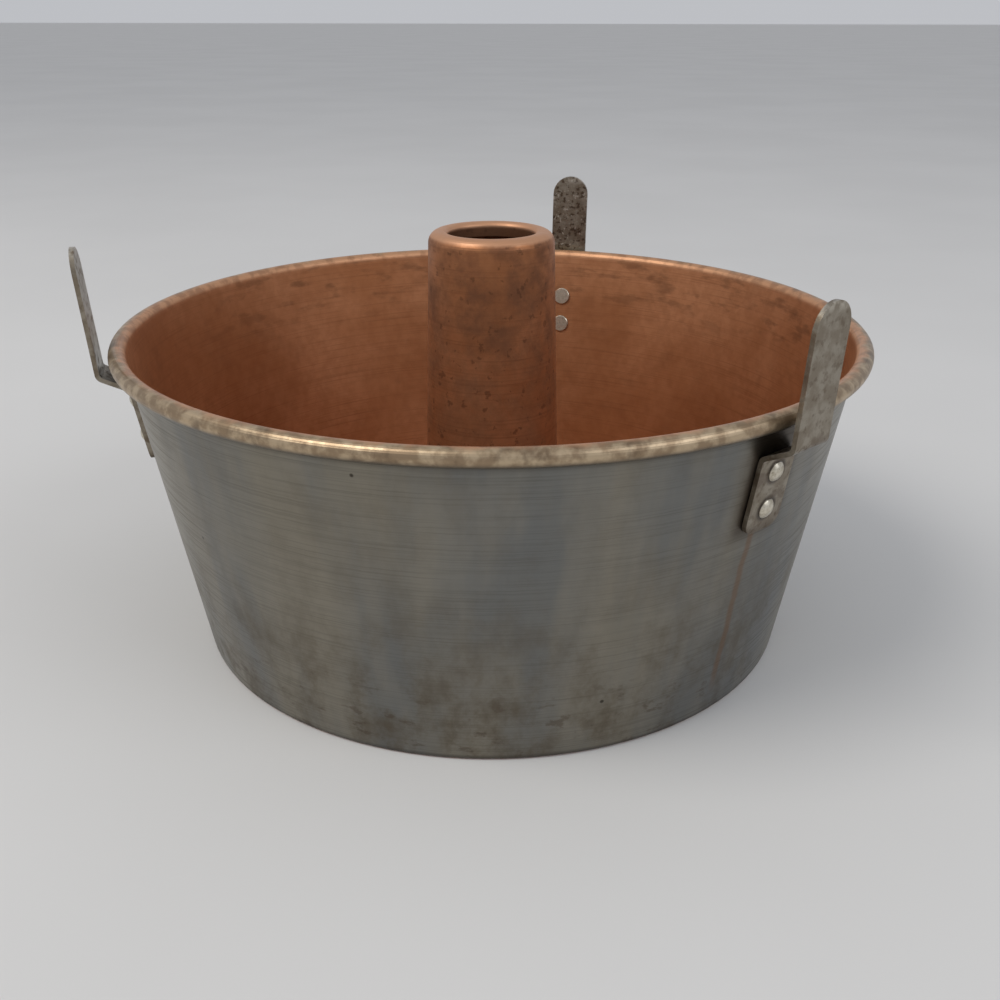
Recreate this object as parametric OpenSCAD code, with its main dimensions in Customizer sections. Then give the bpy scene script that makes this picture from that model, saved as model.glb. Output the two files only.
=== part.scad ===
// Angel food cake pan in two parts. A flared shell stands on a narrow base ledge and
// ends in a rolled rim bead. A bottom plate with a centre tube lies loose on the
// ledge and lifts out with the cake. Three riveted strip legs reach past the tube,
// so that the pan stands on them when it is turned over to cool.
// The origin is the centre of the base plane. +Z is up and the back leg is towards +Y.

/* [Pan shell] */
// Inside diameter of the mouth, level with the centre of the rim bead
mouth_d = 254; // [236:1:290]
// Outside diameter of the wall, carried down to the base plane
base_d = 220; // [196:1:236]
// Height of the top of the rim bead above the base plane
pan_h = 112.5; // [90:0.5:140]
// Thickness of the shell's aluminium sheet
sheet_t = 1; // [0.8:0.1:1.3]
// Outside diameter of the rolled rim bead
bead_d = 5.8; // [5.2:0.1:8]
// Gap left between the rolled edge and the wall
bead_gap = 0.5; // [0.2:0.1:1]
// Outside radius of the corner between base and wall
corner_r = 1.6; // [1.4:0.1:1.8]
// Width of the base ledge, from the outside of the wall inwards
ledge_w = 8; // [5:0.5:16]

/* [Lift-out bottom] */
// Thickness of the bottom plate
plate_t = 1; // [0.9:0.1:2]
// Gap between the edge of the plate and the shell
plate_gap = 0.35; // [0.2:0.05:1]
// Thickness of the tube's sheet
tube_t = 1; // [0.8:0.1:1.5]
// Outside diameter of the tube's wall at the shoulder
tube_top_d = 44.4; // [40:0.1:52]
// Outside diameter of the tube's wall at its foot
tube_foot_d = 53.2; // [48:0.1:64]
// Height of the tube's top above the top of the rim bead
tube_rise = 31.5; // [10:0.5:60]
// Outside radius of the shoulder at the tube's top
shoulder_r = 4; // [2:0.1:6]
// Diameter of the hole in the tube's top
tube_hole_d = 30.8; // [22:0.1:31]
// Outside radius where the top turns down into the hole
lip_r = 2; // [1.6:0.1:2.6]
// Length of the straight lip inside the hole
lip_len = 3; // [1:0.5:20]
// Width of the ring clinched under the plate
clinch_w = 3; // [1.5:0.5:8]
// Gap between the clinched ring and what the pan stands on
clinch_clear = 0.25; // [0.1:0.05:0.5]
// Radius of the rolled seam where the tube stands on the plate
seam_r = 1.4; // [0.8:0.1:3]

/* [Legs] */
// Width of the steel strip
leg_w = 15.9; // [12:0.1:24]
// Thickness of the steel strip
leg_t = 1.5; // [1:0.1:2.5]
// Inside radius of the strip's bends
bend_r = 1.5; // [1:0.1:2.5]
// How far below the bead's centre the strip leaves the wall
strap_drop = 12; // [10:0.5:30]
// Angle of the jog above the horizontal
jog_rise = 26; // [10:1:40]
// Gap between the upright and the rim bead
rim_gap = 3.6; // [2:0.1:8]
// Angle by which the upright leans out from the vertical
leg_lean = 3.7; // [0:0.1:9]
// How far the legs stand above the top of the tube
leg_stand = 0.5; // [0.5:0.5:15]
// Radius of the strip's lower corners
strap_corner_r = 4; // [1:0.5:5.5]

/* [Rivets] */
// Diameter of the shank
rivet_d = 4; // [3:0.1:5]
// Diameter of the flat head inside the pan
head_d = 7.3; // [6:0.1:10]
// Thickness of the flat head
head_t = 0.9; // [0.5:0.1:2]
// Diameter of the domed head outside
dome_d = 6.8; // [6:0.1:9]
// Height of the domed head
dome_h = 1.7; // [1:0.1:3]
// Distance from the jog down to the upper rivet, along the strip
rivet_drop = 5.7; // [5.7:0.1:10]
// Distance between the two rivets of a leg
rivet_pitch = 12.7; // [10:0.1:30]
// Length of strip below the lower rivet
strap_end = 7.7; // [5:0.1:12]

/* [Hidden] */
$fn = 96;

// Clearances: a shank in its hole, a leg or a head on the wall, the tube in the plate
hole_fit = 0.02;
seat_gap = 0.05;
tube_fit = 0.02;
// Angle of one straight piece of a rounded outline
arc_step = 12;
// Extra length that a cutter or a blank has past the face it cuts
over = 2;

// Direction from the axis of each leg
back_az = 90;
left_az = 209;
right_az = 326;

aluminium = [0.37, 0.36, 0.33];
copper = [0.52, 0.31, 0.17];
steel = [0.36, 0.34, 0.30];
rivet_metal = [0.70, 0.66, 0.57];

// Wall: a cone that leans out by wall_lean and meets the rim bead at its tangent
mouth_r = mouth_d / 2;
base_r = base_d / 2;
bead_r = bead_d / 2;
bead_z = pan_h - bead_r;
flare = mouth_r - base_r;
wall_lean = atan2(flare, bead_z) + asin(sheet_t / norm([flare, bead_z]));
wall_up = [sin(wall_lean), cos(wall_lean)];
wall_out = [cos(wall_lean), -sin(wall_lean)];
bead_c = [mouth_r + bead_r / cos(wall_lean), bead_z];
roll_r = bead_r - sheet_t / 2;
roll_turn = 360 - acos((bead_r - sheet_t - bead_gap) / bead_r);
wall_top = bead_c - wall_out * roll_r;
wall_foot = wall_top - wall_up * (wall_top[1] - sheet_t / 2) / wall_up[1];
ledge_end = [base_r - ledge_w, sheet_t / 2];

// Bottom plate: lies on the ledge, and its lower edge clears the corner inside the shell
inner_corner_r = corner_r - sheet_t;
plate_z = sheet_t;
plate_top = plate_z + plate_t;
plate_low_r = outer_r(corner_r) - corner_r / cos(wall_lean) - plate_gap;

// Tube: a cone whose outside is tube_foot_d at the base plane
tube_top = pan_h + tube_rise;
tube_slope = (tube_foot_d - tube_top_d) / 2 / tube_top;
tube_lean = atan(tube_slope);
tube_hole_r = tube_hole_d / 2;
tube_flat_z = tube_top - tube_t / 2;

// Leg: centre line of the bent strip
leg_top = tube_top + leg_stand;
jog_z = bead_z - strap_drop;
strap_off = seat_gap + leg_t / 2;
strap_len = rivet_drop + rivet_pitch + strap_end;
jog_start = [outer_r(jog_z), jog_z] + wall_out * strap_off;
strap_foot = jog_start - wall_up * strap_len;
upright_up = [sin(leg_lean), cos(leg_lean)];
upright_mid = [bead_c[0] + bead_r + rim_gap + leg_t / 2 / cos(leg_lean), bead_z];
jog_dir = [cos(jog_rise), sin(jog_rise)];
jog_end = jog_start + jog_dir * cross(upright_mid - jog_start, upright_up) / cross(jog_dir, upright_up);
upright_end = upright_mid + upright_up * (leg_top + over - bead_z) / upright_up[1];

// Outside and inside radius of the shell's wall, and outside radius of the tube's wall
function outer_r(z) = base_r + z * tan(wall_lean);
function inner_r(z) = outer_r(z) - sheet_t / cos(wall_lean);
function tube_r(z) = tube_foot_d / 2 - z * tube_slope;

// Place on the outside of the wall, this far down the strip from the jog
function strap_z(down) = jog_start[1] + wall_up[0] * strap_off - down * wall_up[1];
function upper_z() = strap_z(rivet_drop);
function lower_z() = strap_z(rivet_drop + rivet_pitch);

// Sheet profiles: a path of straight runs, rounded at its corners, given a thickness
function unit(v) = v / norm(v);
function left(v) = [-v[1], v[0]];
function rest(list) = [for (i = [1:len(list) - 1]) list[i]];
function reversed(list) = [for (i = [len(list) - 1:-1:0]) list[i]];
function arc(c, r, from, turn) =
  let (steps = ceil(abs(turn) / arc_step))
  [for (i = [0:steps]) c + r * [cos(from + turn * i / steps), sin(from + turn * i / steps)]];
function bend(p, q, s, r, off) =
  let (
    u = unit(q - p),
    v = unit(s - q),
    side = sign(cross(u, v)),
    turn = acos(u * v),
    c = q - u * r * tan(turn / 2) + left(u) * side * r,
    from = atan2(-side * left(u)[1], -side * left(u)[0])
  )
  arc(c, r - side * off, from, side * turn);
function face(path, radii, off) =
  let (last = len(path) - 1)
  [
    path[0] + off * left(unit(path[1] - path[0])),
    for (i = [1:last - 1]) each bend(path[i - 1], path[i], path[i + 1], radii[i - 1], off),
    path[last] + off * left(unit(path[last] - path[last - 1]))
  ];
function strip(path, radii, t) =
  concat(face(path, radii, t / 2), reversed(face(path, radii, -t / 2)));

// Rolled bead: goes on from the top of the wall, over the rim and in under it
function roll(off) = rest(arc(bead_c, roll_r + off, 180 - wall_lean, -roll_turn));
function shell_outline() =
  let (
    path = [ledge_end, wall_foot, wall_top],
    radii = [corner_r - sheet_t / 2],
    half = sheet_t / 2
  )
  concat(
    face(path, radii, half), roll(half),
    reversed(roll(-half)), reversed(face(path, radii, -half))
  );

// Puts a shape on the wall, with its +Z square to the wall and pointing away from the pan
module on_wall(azimuth, z) {
  rotate([0, 0, azimuth])
    translate([outer_r(z), 0, z])
      rotate([0, 90 + wall_lean, 0])
        children();
}

module rivet_hole(azimuth, z, depth) {
  on_wall(azimuth, z)
    cylinder(r = rivet_d / 2 + hole_fit, h = 2 * depth, center = true);
}

module pan_shell() {
  color(aluminium)
    difference() {
      rotate_extrude() polygon(shell_outline());
      for (azimuth = [back_az, left_az, right_az]) {
        rivet_hole(azimuth, upper_z(), sheet_t + over);
        rivet_hole(azimuth, lower_z(), sheet_t + over);
      }
    }
}

module bottom_plate() {
  color(copper)
    rotate_extrude()
      polygon([
        [tube_r(plate_z) + tube_fit, plate_z],
        [plate_low_r, plate_z],
        [plate_low_r + inner_corner_r, plate_z + inner_corner_r],
        [plate_low_r + inner_corner_r, plate_top],
        [tube_r(plate_z) + tube_fit, plate_top]
      ]);
}

// Tube: up the inside, over the lip and the shoulder, down the outside, round the rolled
// seam that sits on the plate, through the plate and out under it
function tube_outline() =
  let (
    wall_mid = tube_t / 2 / cos(tube_lean),
    foot_r = tube_r(clinch_clear),
    lip_x = tube_hole_r + tube_t / 2,
    path = [
      [foot_r - wall_mid, clinch_clear],
      [tube_r(tube_flat_z) - wall_mid, tube_flat_z],
      [lip_x, tube_flat_z],
      [lip_x, tube_top - lip_r - lip_len]
    ],
    radii = [shoulder_r - tube_t / 2, lip_r - tube_t / 2],
    seam_top = plate_top + 1.5 * seam_r
  )
  concat(
    [[foot_r - 2 * wall_mid, clinch_clear]],
    rest(face(path, radii, tube_t / 2)),
    reversed(rest(face(path, radii, -tube_t / 2))),
    arc([tube_r(seam_top), seam_top - seam_r], seam_r, 90, -120),
    [
      [tube_r(plate_z), plate_top],
      [tube_r(plate_z), plate_z],
      [foot_r + clinch_w, plate_z],
      [foot_r + clinch_w, clinch_clear]
    ]
  );

module centre_tube() {
  color(copper) rotate_extrude() polygon(tube_outline());
}

// Front view of the strip: round tip, straight sides, rounded lower corners
module leg_front() {
  half = leg_w / 2;
  foot_z = strap_foot[1];
  translate([0, leg_top - half]) circle(r = half);
  translate([-half, foot_z + strap_corner_r]) square([leg_w, leg_top - half - foot_z - strap_corner_r]);
  translate([-half + strap_corner_r, foot_z]) square([leg_w - 2 * strap_corner_r, 2 * strap_corner_r]);
  for (side = [-1, 1])
    translate([side * (half - strap_corner_r), foot_z + strap_corner_r]) circle(r = strap_corner_r);
}

module leg(azimuth) {
  blank = [strap_foot - wall_up * over, jog_start, jog_end, upright_end];
  mid_r = bend_r + leg_t / 2;
  reach = upright_end[0] + over;
  color(steel)
    difference() {
      rotate([0, 0, azimuth])
        intersection() {
          rotate([90, 0, 0])
            linear_extrude(leg_w + over, center = true)
              polygon(strip(blank, [mid_r, mid_r], leg_t));
          rotate([90, 0, 90]) linear_extrude(reach) leg_front();
        }
      rivet_hole(azimuth, upper_z(), leg_t + over);
      rivet_hole(azimuth, lower_z(), leg_t + over);
    }
}

// Rivet: flat head inside the pan, shank through wall and leg, domed head outside
module rivet(azimuth, z) {
  head_r = head_d / 2;
  dome_r = dome_d / 2;
  shank_r = rivet_d / 2;
  edge = head_t / 3;
  under_head = -sheet_t - seat_gap - head_r * head_r / (2 * inner_r(z));
  under_dome = seat_gap + leg_t;
  ball_r = (dome_r * dome_r + dome_h * dome_h) / (2 * dome_h);
  ball_z = under_dome + dome_h - ball_r;
  rise = asin((under_dome - ball_z) / ball_r);
  dome = arc([0, ball_z], ball_r, rise, 90 - rise);
  color(rivet_metal)
    on_wall(azimuth, z)
      rotate_extrude()
        polygon(concat(
          [
            [0, under_head - head_t],
            [head_r - edge, under_head - head_t],
            [head_r, under_head - head_t + edge],
            [head_r, under_head],
            [shank_r, under_head],
            [shank_r, under_dome]
          ],
          dome
        ));
}

module leg_back() { leg(back_az); }
module leg_left() { leg(left_az); }
module leg_right() { leg(right_az); }
module rivet_back_upper() { rivet(back_az, upper_z()); }
module rivet_back_lower() { rivet(back_az, lower_z()); }
module rivet_left_upper() { rivet(left_az, upper_z()); }
module rivet_left_lower() { rivet(left_az, lower_z()); }
module rivet_right_upper() { rivet(right_az, upper_z()); }
module rivet_right_lower() { rivet(right_az, lower_z()); }

pan_shell();
bottom_plate();
centre_tube();
leg_back();
leg_left();
leg_right();
rivet_back_upper();
rivet_back_lower();
rivet_left_upper();
rivet_left_lower();
rivet_right_upper();
rivet_right_lower();
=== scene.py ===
import math

import bpy
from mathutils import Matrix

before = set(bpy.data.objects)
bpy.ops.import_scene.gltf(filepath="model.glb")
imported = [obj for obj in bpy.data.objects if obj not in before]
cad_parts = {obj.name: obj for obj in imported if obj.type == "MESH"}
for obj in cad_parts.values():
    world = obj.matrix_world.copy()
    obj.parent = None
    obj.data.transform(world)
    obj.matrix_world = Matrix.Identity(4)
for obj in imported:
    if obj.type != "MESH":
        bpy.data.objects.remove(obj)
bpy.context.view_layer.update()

# Sizes of the part that the finishes follow, in metres and degrees
WALL_LEAN = 0.16436               # outward lean of the wall, run over rise
WALL_FOOT_R = 0.110               # outer radius of the wall at the base
LEG_DIRECTIONS = (90, 209, 326)   # back, left and right leg
RIVET_HEIGHTS = (0.092, 0.0795)
RIVET_HEAD_OUT = 0.0008           # from the wall's outer face to the middle of a rivet's outside head
BEAD_FOOT = (0.1064, 0.1070)      # heights between which the wall's finish gives way to the bead's
BEAD_INNER_R = (0.1268, 0.1274)   # and the same for the inside's finish, as radii

# The fine lines left by turning
LINE_SCALE = 1500.0
LINE_DRIFT = 0.012                # how quickly a line changes on its way round
LINE_SPREAD = 0.9                 # how much of the radius counts, which makes rings on flat faces

# Colours of the shell's bare outside
GREY_COOL = (0.160, 0.164, 0.160)
GREY_WARM = (0.232, 0.210, 0.166)
GREY_PALE = (0.262, 0.240, 0.196)
GREY_LINE = (0.095, 0.088, 0.072)
PATINA = (0.112, 0.088, 0.058)
FOOT_BLOTCH_DARK = (0.080, 0.054, 0.034)
SPECK = (0.030, 0.022, 0.016)
GRIME_AND_PAINTED_SHADE = (0.050, 0.034, 0.022)
DRIP = (0.170, 0.092, 0.045)
PAINTED_SHADE_UNDER_BEAD = (0.045, 0.036, 0.027)
PAINTED_CONTACT_SHADOW = (0.040, 0.034, 0.028)

# Colours of the coppered inside and of the bead
COPPER_DEEP = (0.40, 0.165, 0.068)
COPPER_LIGHT = (0.56, 0.265, 0.130)
COPPER_GRAIN = (0.30, 0.115, 0.045)
COPPER_LINE = (0.22, 0.085, 0.036)
SMUDGE = (0.105, 0.046, 0.022)
INSIDE_CLOUD = (0.20, 0.085, 0.040)
RUBBED_DARK = (0.30, 0.215, 0.135)
RUBBED_LIGHT = (0.50, 0.385, 0.255)
RUBBED_SPOT = (0.120, 0.080, 0.050)
BEAD_COPPER = (0.62, 0.335, 0.185)
BEAD_COPPER_DULL = (0.33, 0.165, 0.090)
BEAD_UNDERSIDE_SHADE = (0.135, 0.112, 0.084)

# Colours of the tube
TUBE_BROWN = (0.190, 0.085, 0.045)
TUBE_SPECK = (0.085, 0.036, 0.018)
MOUTH_RUBBED = (0.63, 0.345, 0.200)
HOLE_PAINTED_SHADE = (0.10, 0.050, 0.030)

# Colours of the legs and rivets
STEEL_BROWN = (0.215, 0.178, 0.132)
STEEL_PEWTER = (0.300, 0.265, 0.212)
STEEL_MOTTLE = (0.130, 0.090, 0.058)
PIT = (0.075, 0.048, 0.030)
PIT_EDGE = (0.56, 0.52, 0.45)
TIP_PAINTED_HIGHLIGHT = (0.68, 0.63, 0.54)
RIVET_RING_SHADE = (0.050, 0.036, 0.026)
PLATE_END_SHADE = (0.080, 0.054, 0.036)
STEEL_STAIN_AND_SHADE = (0.105, 0.070, 0.044)
RIVET_PALE = (0.66, 0.61, 0.51)
RIVET_DULL = (0.48, 0.43, 0.34)
RIVET_MARK = (0.16, 0.11, 0.07)
RIVET_SKIRT_SHADE = (0.040, 0.030, 0.022)

FLOOR_LOW = (0.660, 0.655, 0.645)
FLOOR_HIGH = (0.690, 0.685, 0.675)


class Graph:
    """One material's node tree, with short names for the nodes that the finishes share."""

    def __init__(self, name):
        self.material = bpy.data.materials.new(name)
        self.material.use_nodes = True
        self.tree = self.material.node_tree
        self.shader = self.tree.nodes["Principled BSDF"]
        self.place = self.node("ShaderNodeTexCoord").outputs["Object"]
        self.x, self.y, self.z = self.node("ShaderNodeSeparateXYZ", self.place).outputs
        self.r = self.m("SQRT", self.m("ADD", self.mul(self.x, self.x), self.mul(self.y, self.y)))

    def put(self, socket, value):
        if hasattr(value, "is_output"):
            self.tree.links.new(value, socket)
        elif isinstance(value, tuple) and len(value) == 3 and socket.type == "RGBA":
            socket.default_value = (*value, 1)
        else:
            socket.default_value = value

    def node(self, kind, *values, **props):
        n = self.tree.nodes.new(kind)
        for name, value in props.items():
            setattr(n, name, value)
        for i, value in enumerate(values):
            self.put(n.inputs[i], value)
        return n

    def m(self, op, a, b=0.0):
        return self.node("ShaderNodeMath", a, b, operation=op).outputs[0]

    def mul(self, first, *rest):
        out = first
        for factor in rest:
            out = self.m("MULTIPLY", out, factor)
        return out

    def step(self, value, lo, hi):
        """0 below lo, 1 above hi, smooth between; with hi below lo it runs the other way."""
        n = self.node("ShaderNodeMapRange", value, interpolation_type="SMOOTHSTEP")
        ends = (0.0, 1.0) if lo <= hi else (1.0, 0.0)
        for i, v in enumerate((min(lo, hi), max(lo, hi), *ends), 1):
            n.inputs[i].default_value = v
        return n.outputs[0]

    def mix(self, factor, a, b):
        """Colour a where factor is 0, b where it is 1."""
        n = self.node("ShaderNodeMix", factor, data_type="RGBA")
        self.put(n.inputs[6], a)
        self.put(n.inputs[7], b)
        return n.outputs[2]

    def lerp(self, factor, a, b):
        """The same for plain numbers."""
        n = self.node("ShaderNodeMix", factor, data_type="FLOAT")
        self.put(n.inputs[2], a)
        self.put(n.inputs[3], b)
        return n.outputs[0]

    def over(self, under, colour, amount, *masks):
        """Lays colour over what is there, as strongly as amount says, where all the masks allow it."""
        return self.mix(self.mul(*masks, amount), under, colour)

    def noise(self, scale, stretch=(1, 1, 1), detail=4.0, rough=0.55, shift=0.0, vector=None):
        v = self.node("ShaderNodeMapping", self.place if vector is None else vector)
        v.inputs["Location"].default_value = (shift, shift * 0.7, shift * 1.3)
        v.inputs["Scale"].default_value = tuple(scale * s for s in stretch)
        n = self.node("ShaderNodeTexNoise", v.outputs[0])
        n.inputs["Scale"].default_value = 1.0
        n.inputs["Detail"].default_value = detail
        n.inputs["Roughness"].default_value = rough
        return n.outputs[0]

    def patches(self, lo, hi, *shape, **more):
        """Noise sharpened into patches: 0 where it is below lo, 1 above hi."""
        return self.step(self.noise(*shape, **more), lo, hi)

    def wobble(self, width, *shape, **more):
        """Noise round 0, to make an edge ragged by about width."""
        return self.mul(self.m("SUBTRACT", self.noise(*shape, **more), 0.5), width)

    def turned(self):
        """Fine lines left by turning: level round the wall, rings on the plate."""
        along = self.m("ADD", self.z, self.mul(self.r, LINE_SPREAD))
        drift = (self.mul(self.x, LINE_DRIFT), self.mul(self.y, LINE_DRIFT))
        v = self.node("ShaderNodeCombineXYZ", *drift, along).outputs[0]
        return self.noise(LINE_SCALE, detail=3.0, rough=0.7, vector=v)

    def past_wall(self):
        """How far out a point lies from the wall's outer face, measured level."""
        return self.m("SUBTRACT", self.r, self.m("ADD", self.mul(self.z, WALL_LEAN), WALL_FOOT_R))

    def near_rivets(self, inner, outer):
        """1 within inner of the middle of a rivet's outside head, 0 beyond outer."""
        nearest = None
        for direction in LEG_DIRECTIONS:
            turn = math.radians(direction)
            for height in RIVET_HEIGHTS:
                reach = WALL_FOOT_R + WALL_LEAN * height + RIVET_HEAD_OUT
                middle = (reach * math.cos(turn), reach * math.sin(turn), height)
                gap = self.node("ShaderNodeVectorMath", self.place, middle, operation="DISTANCE")
                away = gap.outputs["Value"]
                nearest = away if nearest is None else self.m("MINIMUM", nearest, away)
        return self.step(nearest, outer, inner)

    def finish(self, colour, metallic, rough, height, depth=0.0001, strength=0.35):
        """Sends the finish to the shader, with height as a bump depth metres deep."""
        self.put(self.shader.inputs["Base Color"], colour)
        self.put(self.shader.inputs["Metallic"], metallic)
        self.put(self.shader.inputs["Roughness"], rough)
        bump = self.node("ShaderNodeBump")
        bump.inputs["Strength"].default_value = strength
        bump.inputs["Distance"].default_value = depth
        self.put(bump.inputs["Height"], height)
        self.put(self.shader.inputs["Normal"], bump.outputs[0])
        return self.material


def copper_colour(g):
    """The copper-toned coating: warm and uneven, dulled by baking, with fine rings."""
    c = g.mix(g.patches(0.32, 0.70, 16, detail=5, shift=3), COPPER_DEEP, COPPER_LIGHT)
    c = g.over(c, COPPER_GRAIN, 0.30, g.patches(0.35, 0.68, 240, detail=4, shift=9))
    return g.over(c, COPPER_LINE, 0.40, g.step(g.turned(), 0.48, 0.74))


def leg_marks(g, c, rag):
    """Grime and painted shade round the right leg's plate, and the brown drip under it."""
    turn = math.radians(LEG_DIRECTIONS[2])
    across = g.m("ADD", g.mul(g.x, -math.sin(turn)), g.mul(g.y, math.cos(turn)))
    towards = g.m("ADD", g.mul(g.x, math.cos(turn)), g.mul(g.y, math.sin(turn)))
    facing = g.step(towards, 0.05, 0.06)
    side = g.m("ABSOLUTE", g.m("ADD", across, g.mul(rag, 0.8)))
    # grime mixed with painted shade on the wall beside the plate, below the rim
    c = g.over(c, GRIME_AND_PAINTED_SHADE, 0.80, g.mul(g.step(side, 0.016, 0.0075), g.step(g.z, 0.066, 0.074), facing))
    path = g.m("ADD", g.m("ADD", across, 0.0012), g.wobble(0.006, 40, (0.2, 0.2, 1), shift=4))
    width = g.step(g.m("ABSOLUTE", path), 0.0022, 0.0006)
    length = (g.step(g.z, 0.078, 0.070), g.step(g.z, 0.006, 0.020))
    return g.over(c, DRIP, 0.60, g.mul(width, *length, facing))


def bare_outside(g, rag, lines):
    """Grey with warm and cool upright bands, browner towards the base. Also says where it is stained."""
    c = g.mix(g.patches(0.36, 0.64, 26, (1, 1, 0.12), shift=1), GREY_COOL, GREY_WARM)
    c = g.over(c, GREY_PALE, 0.45, g.patches(0.38, 0.66, 60, (1, 1, 0.25), shift=8))
    c = g.over(c, GREY_LINE, 0.30, lines)
    cloud = g.patches(0.40, 0.72, 70, (1, 1, 0.8), detail=8, rough=0.68, shift=12)
    stain = g.mul(cloud, g.m("ADD", g.mul(g.step(g.z, 0.075, 0.0), 0.62), 0.22))
    c = g.mix(stain, c, PATINA)
    # darker blotches along the foot of the wall
    blotches = g.patches(0.58, 0.66, 115, (1, 1, 1.8), detail=7, rough=0.6, shift=21)
    c = g.over(c, FOOT_BLOTCH_DARK, 0.50, blotches, g.step(g.z, 0.040, 0.012))
    # scattered dark specks, in some of the cells only
    cells = g.node("ShaderNodeTexVoronoi", g.place)
    cells.inputs["Scale"].default_value = 62.0
    pick = g.node("ShaderNodeSeparateColor", cells.outputs["Color"]).outputs[0]
    dots = g.step(cells.outputs["Distance"], 0.055, 0.025)
    c = g.over(c, SPECK, 0.85, dots, g.step(pick, 0.60, 0.62))
    c = leg_marks(g, c, rag)
    # painted shade in the groove under the bead, and a painted contact shadow along the foot
    c = g.over(c, PAINTED_SHADE_UNDER_BEAD, 0.72, g.step(g.z, 0.1035, 0.1066))
    return g.over(c, PAINTED_CONTACT_SHADOW, 0.75, g.step(g.z, 0.0026, 0.0004)), stain


def coppered_inside(g):
    """The coating inside the wall, smudged under the rim at the back."""
    smudge = g.patches(0.50, 0.66, 75, (1, 1, 2.6), detail=7, shift=14)
    c = g.over(copper_colour(g), SMUDGE, 0.42, smudge, g.step(g.z, 0.078, 0.100), g.step(g.y, -0.02, 0.06))
    return g.over(c, INSIDE_CLOUD, 0.25, g.patches(0.56, 0.74, 55, detail=6, shift=31))


def bead_colour(g, rag):
    """Copper on top, rubbed to pale bare metal on the crown, with painted shade on the side below."""
    rubbed = g.mix(g.patches(0.40, 0.62, 210, detail=5, shift=6), RUBBED_DARK, RUBBED_LIGHT)
    rubbed = g.over(rubbed, RUBBED_SPOT, 0.60, g.patches(0.52, 0.68, 130, detail=6, shift=17))
    top = g.over(BEAD_COPPER, BEAD_COPPER_DULL, 0.6, g.patches(0.45, 0.62, 170, detail=5, shift=27))
    c = g.mix(g.step(g.m("ADD", g.r, rag), 0.1285, 0.1315), top, rubbed)
    # painted shade on the bead's lower side
    return g.mix(g.step(g.z, 0.1092, 0.1070), c, BEAD_UNDERSIDE_SHADE)


def shell_material():
    g = Graph("shell_stained_aluminium")
    rag = g.wobble(0.006, 120, detail=5, shift=5)
    lines = g.step(g.turned(), 0.42, 0.72)
    outside = g.step(g.past_wall(), -0.0005, -0.0004)
    bare, stain = bare_outside(g, rag, lines)
    colour = g.mix(outside, coppered_inside(g), bare)
    on_bead = g.mul(g.step(g.z, *BEAD_FOOT), g.step(g.r, *BEAD_INNER_R))
    colour = g.mix(on_bead, colour, bead_colour(g, rag))
    dull = g.m("MAXIMUM", stain, g.mul(lines, 0.6))
    rough = g.lerp(outside, g.lerp(g.noise(60), 0.40, 0.58), g.lerp(dull, 0.33, 0.58))
    height = g.m("ADD", g.turned(), g.mul(g.noise(900, detail=3, shift=2), 0.5))
    return g.finish(colour, g.lerp(outside, 0.72, 0.80), rough, height, depth=0.00008)


def copper_material():
    """The plate and the tube. The tube is mottled brown, darkest under its top."""
    g = Graph("copper_tone_worn")
    mottle = g.patches(0.34, 0.70, 95, detail=7, rough=0.65, shift=11)
    amount = g.m("ADD", g.mul(g.step(g.z, 0.060, 0.125), 0.40), 0.40)
    c = g.over(copper_colour(g), TUBE_BROWN, amount, mottle)
    c = g.over(c, TUBE_SPECK, 0.45, g.patches(0.60, 0.66, 330, detail=4, shift=23))
    # pale where the mouth is rubbed, painted shade inside the hole
    ragged_z = g.m("ADD", g.z, g.wobble(0.0012, 260, shift=2))
    c = g.over(c, MOUTH_RUBBED, 0.85, g.step(ragged_z, 0.1415, 0.1428))
    c = g.over(c, HOLE_PAINTED_SHADE, 0.7, g.step(g.r, 0.01562, 0.01556), g.step(g.z, 0.1436, 0.1420))
    height = g.m("ADD", g.turned(), g.mul(g.noise(800), 0.5))
    return g.finish(c, 0.72, g.lerp(mottle, 0.42, 0.60), height)


def leg_material():
    g = Graph("leg_tarnished_steel")
    c = g.mix(g.patches(0.40, 0.62, 170, detail=6, rough=0.62, shift=2), STEEL_BROWN, STEEL_PEWTER)
    mottle = g.patches(0.50, 0.66, 420, detail=5, shift=7)
    c = g.over(c, STEEL_MOTTLE, 0.35, mottle)
    # the back leg is pitted
    back = g.step(g.y, 0.09, 0.10)
    c = g.over(c, PIT, 0.85, g.patches(0.53, 0.60, 620, detail=4, shift=15), back)
    c = g.over(c, PIT_EDGE, 0.7, g.patches(0.60, 0.66, 560, detail=3, shift=19), back)
    # painted highlight at the tips; painted shade round the rivets and at the plate's lower end; stain mixed
    # with painted shade under the rim
    c = g.over(c, TIP_PAINTED_HIGHLIGHT, 0.55, g.step(g.z, 0.1405, 0.1440), g.patches(0.42, 0.60, 300, shift=4))
    # painted shade round each rivet head
    c = g.over(c, RIVET_RING_SHADE, 0.85, g.near_rivets(0.0036, 0.0052))
    # painted shade on the plate's lower end, below the lower rivet
    c = g.over(c, PLATE_END_SHADE, 0.6, g.step(g.z, 0.076, 0.072))
    # stain mixed with painted shade on the plate under the rim
    c = g.over(c, STEEL_STAIN_AND_SHADE, 0.6, g.patches(0.52, 0.62, 150, shift=33), g.step(g.z, 0.112, 0.100))
    height = g.m("ADD", g.noise(700, shift=5), g.mul(g.noise(90, (1, 1, 0.1)), 0.4))
    return g.finish(c, 0.85, g.lerp(mottle, 0.30, 0.55), height, depth=0.00012)


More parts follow.
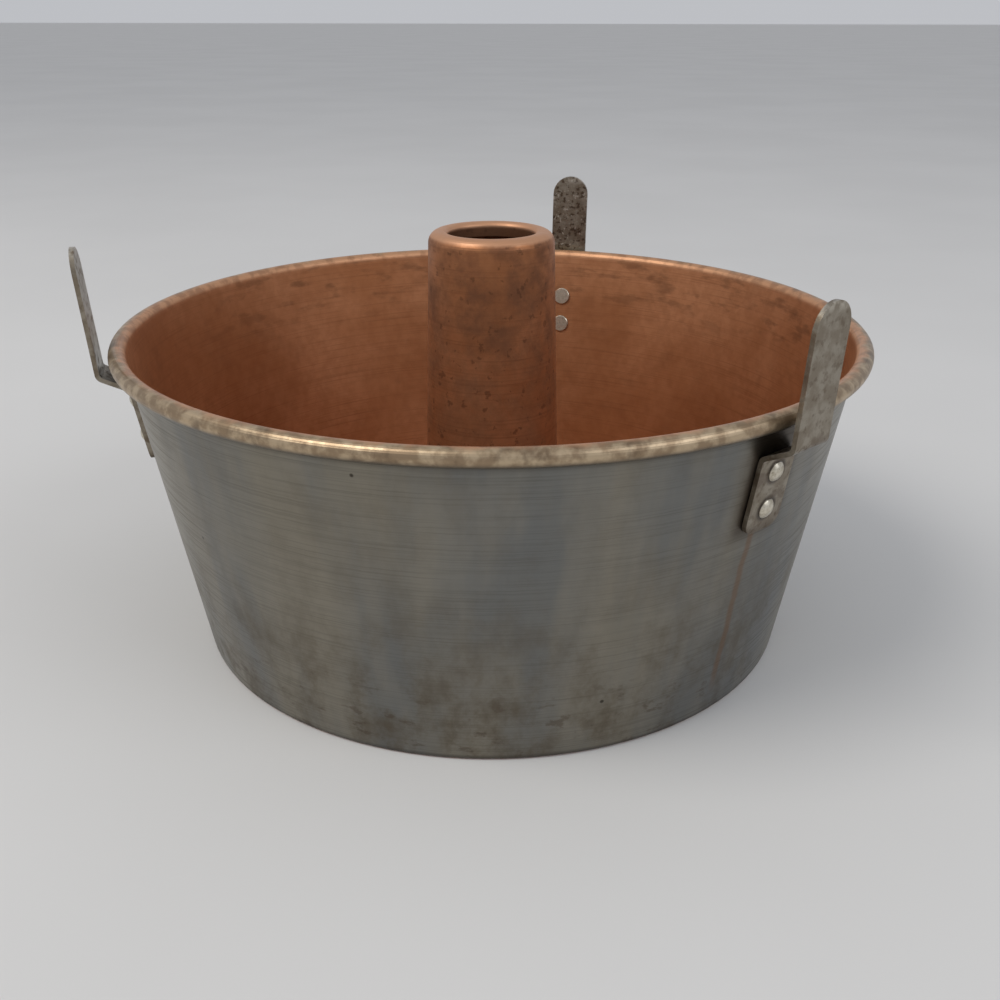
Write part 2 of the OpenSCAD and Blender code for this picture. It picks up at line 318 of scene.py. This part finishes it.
def rivet_material():
    g = Graph("rivet_satin_aluminium")
    fine = g.patches(0.38, 0.66, 650, detail=5, shift=2)
    c = g.mix(fine, RIVET_PALE, RIVET_DULL)
    c = g.over(c, RIVET_MARK, 0.6, g.patches(0.60, 0.68, 1100, detail=4, shift=8))
    # painted shade where each head meets the sheet under it
    past = g.past_wall()
    c = g.over(c, RIVET_SKIRT_SHADE, 0.9, g.step(past, -0.00145, -0.00130), g.step(past, 0.00195, 0.00175))
    return g.finish(c, 0.85, g.lerp(fine, 0.28, 0.46), g.noise(900, detail=3), depth=0.00008)


def floor_material():
    g = Graph("plain_floor")
    c = g.mix(g.patches(0.3, 0.7, 3, detail=3), FLOOR_LOW, FLOOR_HIGH)
    rough = g.lerp(g.noise(40), 0.80, 0.90)
    return g.finish(c, 0.0, rough, g.noise(500, detail=3), depth=0.00005, strength=0.1)


LOOKS = (("pan_shell", shell_material()), ("leg_", leg_material()), ("rivet_", rivet_material()),
         ("", copper_material()))   # by the start of a node's name; the plate and the tube are left for the last
for name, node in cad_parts.items():
    look = next(material for start, material in LOOKS if name.startswith(start))
    if not node.material_slots:
        node.data.materials.append(look)
    for material_slot in node.material_slots:
        material_slot.material = look

bpy.ops.mesh.primitive_plane_add(size=60, location=(0, 0, 0))
floor = bpy.context.object
floor.name = "floor"
floor.data.materials.append(floor_material())

scene = bpy.context.scene
world = bpy.data.worlds.new("soft_room")
world.use_nodes = True
background = world.node_tree.nodes["Background"]
background.inputs["Color"].default_value = (0.93, 0.95, 1.0, 1)
background.inputs["Strength"].default_value = 0.55
scene.world = world

LIT_POINT = (0, 0, 0.06)   # half-way up the pan, where both lamps point


def soft_lamp(name, place, size, power, colour):
    """A round area light at place, turned towards LIT_POINT."""
    data = bpy.data.lights.new(name, "AREA")
    data.shape = "DISK"
    data.size = size
    data.energy = power
    data.color = colour
    lamp = bpy.data.objects.new(name, data)
    scene.collection.objects.link(lamp)
    dx, dy, dz = (to - at for at, to in zip(place, LIT_POINT))
    lamp.location = place
    lamp.rotation_euler = (math.atan2(math.hypot(dx, dy), -dz), 0, math.atan2(dy, dx) - math.pi / 2)


soft_lamp("key", (-0.9, -0.9, 1.7), 1.1, 17, (1.0, 0.965, 0.91))
soft_lamp("fill", (1.4, -0.5, 1.1), 1.2, 6, (0.93, 0.96, 1.0))

# The camera stands where a fit to the edges in the photo puts it
lens = bpy.data.cameras.new("camera")
lens.sensor_width = 36
lens.lens = 39.41
camera = bpy.data.objects.new("camera", lens)
camera.location = (0.1035, -0.3758, 0.2130)
camera.rotation_euler = (math.radians(66.099), 0, math.radians(14.959))
scene.collection.objects.link(camera)
scene.camera = camera
scene.view_settings.view_transform = "Standard"
